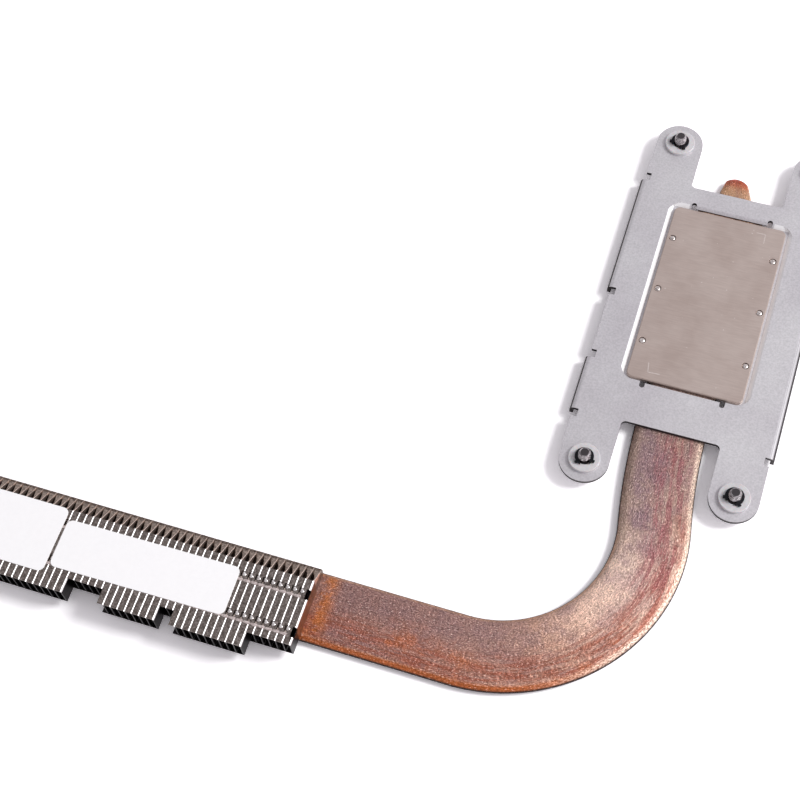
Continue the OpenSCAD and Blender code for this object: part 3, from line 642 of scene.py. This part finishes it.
plateMarks = {
    "stakeX": 8.45, "stakeYs": (12.3, 2.0, -8.3),      # mm, on both sides
    "stakeRadius": 0.52, "stakeRise": 0.4,             # mm, and the dome's height as a share of it
    "stakeTop": 2.74,                                  # mm
    "corners": (((-6.42, -12.06), (-6.14, -13.8), (-4.21, -13.7)),
                ((4.69, 17.18), (6.2, 17.2), (6.26, 15.36))),
    "lineWidth": 0.16, "lineZ": (2.69, 2.712),         # mm, from inside the plate to just above it
}

# the faces of a box whose corners go round its bottom, then round its top
boxFaces = ((3, 2, 1, 0), (4, 5, 6, 7), (0, 1, 5, 4), (1, 2, 6, 5), (2, 3, 7, 6), (3, 0, 4, 7))


def makeMarks(spec):
    # Clinched stake ends as low domes, and two scribed corners as thin raised strips
    work = bmesh.new()
    radius, rise = spec["stakeRadius"], spec["stakeRise"]
    for x, y in [(spec["stakeX"] * side, y) for side in (-1, 1) for y in spec["stakeYs"]]:
        dome = bmesh.ops.create_uvsphere(work, u_segments=14, v_segments=8, radius=radius * mm)["verts"]
        bmesh.ops.scale(work, vec=(1, 1, rise), verts=dome)
        bmesh.ops.translate(work, vec=Vector((x, y, spec["stakeTop"] - rise * radius)) * mm, verts=dome)
    domes = bpy.data.meshes.new("stakeEnds")
    work.to_mesh(domes)
    work.free()
    domes.shade_smooth()
    yield linkMesh("stakeEnds", domes)
    points, faces = [], []
    for corner in spec["corners"]:
        for start, end in zip(corner, corner[1:]):
            a, b = Vector(start), Vector(end)
            aside = (b - a).normalized().orthogonal() * spec["lineWidth"] / 2
            faces += [tuple(len(points) + k for k in face) for face in boxFaces]
            for z in spec["lineZ"]:
                points += [(*(p * mm), z * mm) for p in (a - aside, b - aside, b + aside, a + aside)]
    lines = bpy.data.meshes.new("scribedCorners")
    lines.from_pydata(points, [], faces)
    yield pointOutwards(linkMesh("scribedCorners", lines))


# nickel where a punch or a scriber has pressed it: the stake ends near white, partly a painted highlight,
# pale and matt in the lines
nickelBright = plainFinish("burnishedNickel", "#A89C98", "#FAF4F0", 0.25, Metallic=0.7, Roughness=0.2)
nickelPale = plainFinish("scribedNickel", "#CFC3BD", "#DCD1CB", 0.3, Metallic=0.4, Roughness=0.4)
for piece, finish in zip(makeMarks(plateMarks), (nickelBright, nickelPale)):
    finishPiece(piece, finish, "nickel_plate")
# coated label paper: plain white and smooth
paper = plainFinish("coatedPaper", "#FCFCFC", "#FEFEFE", 0.8, Roughness=0.5)
for nodeName, name in (("label_long", "longLabel"), ("label_big", "secondLabel")):
    finishPiece(softCopy(nodeName, name, 0.03), paper, "label_paper", nodeName)
print("marks and labels made")


# Fins: merged copies of the CAD blocks, so that the folds are smooth

finStack = {
    "x": -44.649, "y": -66.697,     # mm, the first fin and the pipe's axis
    "pitch": 1.16, "count": 60,
    "top": 6.0, "slopeY": -64.35,   # mm, the tops, and where they end and the slope begins
    "rows": (0.0, -6.15),           # mm, the two rows of interlocks
    "slopeRun": 2.3, "slopeFall": 1.65,   # mm, along and down the slope to its low flange
    "foldWidth": 0.24,              # mm, the painted highlight along the round of each fin
    "frontY": 5.65,                 # mm, from the axis to the pipe's front side
}

finFinish = {
    "speckle": ((0.30, "#645A55"), (0.5, "#8E847D"), (0.70, "#C6BCB6")), "speckleMm": 0.28,
    # slopeTop: the upper walls down the slope, drawn pale, are a painted highlight
    "slope": ((0.35, "#5A4A42"), (0.65, "#A49488")), "slopeTop": "#F0DCD0",
    # wall is near black, painted shade in the channels; lastWall is a painted reflection of the copper; fold
    # a painted highlight
    "wall": "#262224", "lastWall": "#805C44", "fold": "#F4F0F0",
    "metallic": 0.9, "foldMetallic": 0.35,
    "topZ": (5.65, 5.75),           # mm, from the walls to the tops
    "slopeZ": (4.0, 4.4),           # mm, from the low flange to the upper slope
    "slopeBlend": 0.02,             # mm, each way
    "wallReach": 0.1,               # mm, each way
}


def finSheet(stack, spec):
    # Thin rolled aluminium, flashed: warm dark grey with a fine speckle on its tops, near black walls as
    # painted shade, and painted highlights along the folds and the wall tops down the slope; the last wall a
    # painted reflection of copper
    material, tree, shader = startMaterial("finSheet", Metallic=spec["metallic"], Roughness=0.3)
    place = addNode(tree, "TexCoord").outputs["Object"]
    x, y, z = addNode(tree, "SeparateXYZ", [place]).outputs
    fine = addNode(tree, "TexNoise", {"Vector": place, "Scale": perSize(spec["speckleMm"]), "Detail": 2.0,
                                      "Roughness": 0.7}).outputs["Fac"]
    speckle = addNode(tree, "ValToRGB", [fine], spec["speckle"]).outputs["Color"]
    above = addNode(tree, "MapRange", [z, *(limit * mm for limit in spec["topZ"])]).outputs[0]
    limits = [(stack["slopeY"] + side * spec["slopeBlend"]) * mm for side in (-1, 1)]
    behind = addNode(tree, "MapRange", [y, *limits]).outputs[0]
    ledge = addNode(tree, "ValToRGB", [fine], spec["slope"]).outputs["Color"]
    upper = addNode(tree, "MapRange", [z, *(limit * mm for limit in spec["slopeZ"])]).outputs[0]
    back = addNode(tree, "Mix", {0: upper, 6: ledge, 7: toLinear(spec["slopeTop"])},
                   data_type="RGBA").outputs[2]
    # a painted reflection: the outermost fin's wall is drawn copper brown where it stands over the pipe
    last = addNode(tree, "Math", [x, stack["x"] * mm, spec["wallReach"] * mm], operation="COMPARE").outputs[0]
    overPipe = addNode(tree, "Math", [y, (stack["y"] - stack["frontY"]) * mm],
                       operation="GREATER_THAN").outputs[0]
    last = addNode(tree, "Math", [last, overPipe], operation="MULTIPLY").outputs[0]
    plain = addNode(tree, "Mix", {0: last, 6: toLinear(spec["wall"]), 7: toLinear(spec["lastWall"])},
                    data_type="RGBA").outputs[2]
    walls = addNode(tree, "Mix", {0: behind, 6: plain, 7: back}, data_type="RGBA").outputs[2]
    top = addNode(tree, "Math", [above, behind], operation="SUBTRACT", use_clamp=True).outputs[0]
    colour = addNode(tree, "Mix", {0: top, 6: walls, 7: speckle}, data_type="RGBA").outputs[2]
    # a painted highlight along each fold: the place across each fin, left of its fold, picks them out
    left = addNode(tree, "Math", [stack["x"] * mm, x], operation="SUBTRACT").outputs[0]
    left = addNode(tree, "Math", [left, stack["pitch"] * mm], operation="FLOORED_MODULO").outputs[0]
    fold = addNode(tree, "Math", [left, stack["foldWidth"] * mm], operation="LESS_THAN").outputs[0]
    fold = addNode(tree, "Math", [fold, top], operation="MULTIPLY").outputs[0]
    colour = addNode(tree, "Mix", {0: fold, 6: colour, 7: toLinear(spec["fold"])},
                     data_type="RGBA").outputs[2]
    tree.links.new(colour, shader.inputs["Base Color"])
    metal = addNode(tree, "MapRange", [fold, 0.0, 1.0, spec["metallic"], spec["foldMetallic"]]).outputs[0]
    tree.links.new(metal, shader.inputs["Metallic"])
    bump = addNode(tree, "Bump", {"Height": fine, "Strength": 0.25, "Distance": 0.04 * mm})
    tree.links.new(bump.outputs["Normal"], shader.inputs["Normal"])
    return material


interlock = {
    # all in mm, round the middle of an interlock
    "bead": (0.4, 0.34, 0.3), "beadRise": (0.0, 0.5, 1.0),     # half sizes, and radians up to its top
    "barRun": ((-0.72, -0.12), (-0.3, 0.0), (0.3, 0.0), (0.6, -0.04)),     # x and z along the bar
    "barSection": ((-0.28, -0.25), (-0.24, 0.0), (0.0, 0.1), (0.24, 0.0), (0.28, -0.25)),     # y and z
    "tongue": ((-0.58, 0.0), (0.0, 0.12)), "tongueHalf": 0.78, "tongueThick": 0.1,     # x and z of its ends
    "flapX": (-0.1, -0.96), "flapY": 0.1, "flapThick": 0.12,
    # each piece's place: behind its row, below the tops, pitches on, and fins left out at the two ends
    "interlockBeads": (0.3, 0.21, 0.0, 1, 0), "interlockBars": (-0.6, 0.02, 0.5, 1, 1),
    "interlockTongues": (0.0, 0.34, 0.0, 1, 0), "slopeFlaps": (0.0, 0.07, 0.0, 0, 0),
}


def interlocks(stack, spec):
    # Where each fin is clinched to the next there is a round bead, the point (a cos t cos u, b sin t cos u,
    # c sin u), and in front of it a bar that dips under the next one, a section carried along its run
    turn, rise = np.meshgrid(np.linspace(0, 2 * math.pi, 9)[:-1], np.array(spec["beadRise"]), indexing="xy")
    bead = np.stack([np.cos(turn) * np.cos(rise), np.sin(turn) * np.cos(rise), np.sin(rise)], axis=-1)
    bead = np.vstack([bead.reshape(-1, 3), [[0, 0, 1]]]) * spec["bead"]
    beadFaces = [(k + 8 * j, (k + 1) % 8 + 8 * j, (k + 1) % 8 + 8 * (j + 1), k + 8 * (j + 1))
                 for j in range(2) for k in range(8)]
    beadFaces += [(16 + k, 16 + (k + 1) % 8, 24) for k in range(8)] + [tuple(range(7, -1, -1))]
    bar = np.array([(x, y, z + lift) for x, lift in spec["barRun"] for y, z in spec["barSection"]])
    barFaces = [(5 * j + k, 5 * (j + 1) + k, 5 * (j + 1) + (k + 1) % 5, 5 * j + (k + 1) % 5)
                for j in range(3) for k in range(5)] + [(0, 1, 2, 3, 4), (19, 18, 17, 16, 15)]
    # behind the bead a tongue dips into the window; at the back a flap closes half of each gap down the slope
    low, high = spec["tongue"]
    half = spec["tongueHalf"]
    tongue = np.array([(x, y, z - down) for down in (spec["tongueThick"], 0.0)
                       for (x, z), y in ((low, -half), (high, -half), (high, half), (low, half))])
    near, far = spec["flapX"]
    run, fall = stack["slopeRun"], stack["slopeFall"]
    flap = np.array([(x, y, z - down) for down in (spec["flapThick"], 0.0)
                     for x, y, z in ((near, spec["flapY"], 0.0), (near, run, -fall), (far, run, -fall))])
    flapFaces = [(2, 1, 0), (3, 4, 5), (0, 1, 4, 3), (1, 2, 5, 4), (2, 0, 3, 5)]
    rows = [stack["y"] + row for row in stack["rows"]]
    for name, shape, faces, places in (
            ("interlockBeads", bead, beadFaces, rows), ("interlockBars", bar, barFaces, rows),
            ("interlockTongues", tongue, boxFaces, rows), ("slopeFlaps", flap, flapFaces, [stack["slopeY"]])):
        behind, below, shift, first, fewer = spec[name]
        spots = np.array([(stack["x"] - stack["pitch"] * (k + shift), y + behind, stack["top"] - below)
                          for y in places for k in range(first, stack["count"] - fewer)])
        points = (spots[:, None] + shape[None]).reshape(-1, 3) * mm
        starts = range(0, len(points), len(shape))
        mesh = bpy.data.meshes.new(name)
        faces = [tuple(start + k for k in face) for start in starts for face in faces]
        mesh.from_pydata(points.tolist(), [], faces)
        mesh.shade_smooth()
        mesh.set_sharp_from_angle(angle=math.radians(50))
        yield pointOutwards(linkMesh(name, mesh))


fins = finSheet(finStack, finFinish)
for nodeName in [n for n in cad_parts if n.startswith("fins_")]:
    # fins_block_1 becomes finsBlock1
    words = nodeName.split("_")
    name = words[0] + words[1].capitalize() + "".join(words[2:])
    finishPiece(softCopy(nodeName, name), fins, "fin_metal", nodeName)
# the same sheet on the clinches and the slope: beads near white as a painted highlight, pinkish bars partly a
# painted highlight, dull tongues, brown flaps
brightSheet = plainFinish("burnishedSheet", "#D8D2D0", "#FAF8F6", 0.3, Metallic=0.6, Roughness=0.25)
pinkSheet = plainFinish("rubbedSheet", "#B8A8A4", "#EADEDA", 0.3, Metallic=0.45, Roughness=0.34)
dullSheet = plainFinish("foldedTongue", "#6A605C", "#D0C6C0", 0.22, Metallic=0.6, Roughness=0.4)
brownSheet = plainFinish("slopeSheet", "#564840", "#A09084", 0.3, Metallic=0.6, Roughness=0.42)
for piece, finish in zip(interlocks(finStack, interlock), (brightSheet, pinkSheet, dullSheet, brownSheet)):
    finishPiece(piece, finish, "fin_metal")
print("fins made")


# The white paper that it lies on

table = {
    "reach": 1.5,         # metres each way
    "below": 2e-5,        # metres under the pipe
    "colour": "#FBFAFB",
    "seenGain": 1.55,     # the picture exposes the white paper past white; the camera's rays alone see this
}


def makeTable(spec):
    # A flat sheet, plain for the light that it sends back and brighter for the camera
    size, z = spec["reach"], -spec["below"]
    mesh = bpy.data.meshes.new("table")
    corners = [(-size, -size, z), (size, -size, z), (size, size, z), (-size, size, z)]
    mesh.from_pydata(corners, [], [(0, 1, 2, 3)])
    material, tree, shader = startMaterial("whitePaper", Roughness=0.9)
    tree.nodes.remove(shader)
    paper = toLinear(spec["colour"])
    plain = addNode(tree, "BsdfDiffuse", {"Color": paper})
    seen = addNode(tree, "BsdfDiffuse", {"Color": tuple(v * spec["seenGain"] for v in paper[:3]) + (1.0,)})
    eye = addNode(tree, "LightPath").outputs["Is Camera Ray"]
    mix = addNode(tree, "MixShader", [eye, plain.outputs[0], seen.outputs[0]])
    tree.links.new(mix.outputs[0], tree.nodes["Material Output"].inputs["Surface"])
    mesh.materials.append(material)
    linkMesh("table", mesh)


makeTable(table)
bpy.context.scene.view_settings.view_transform = "Standard"
print("table made")
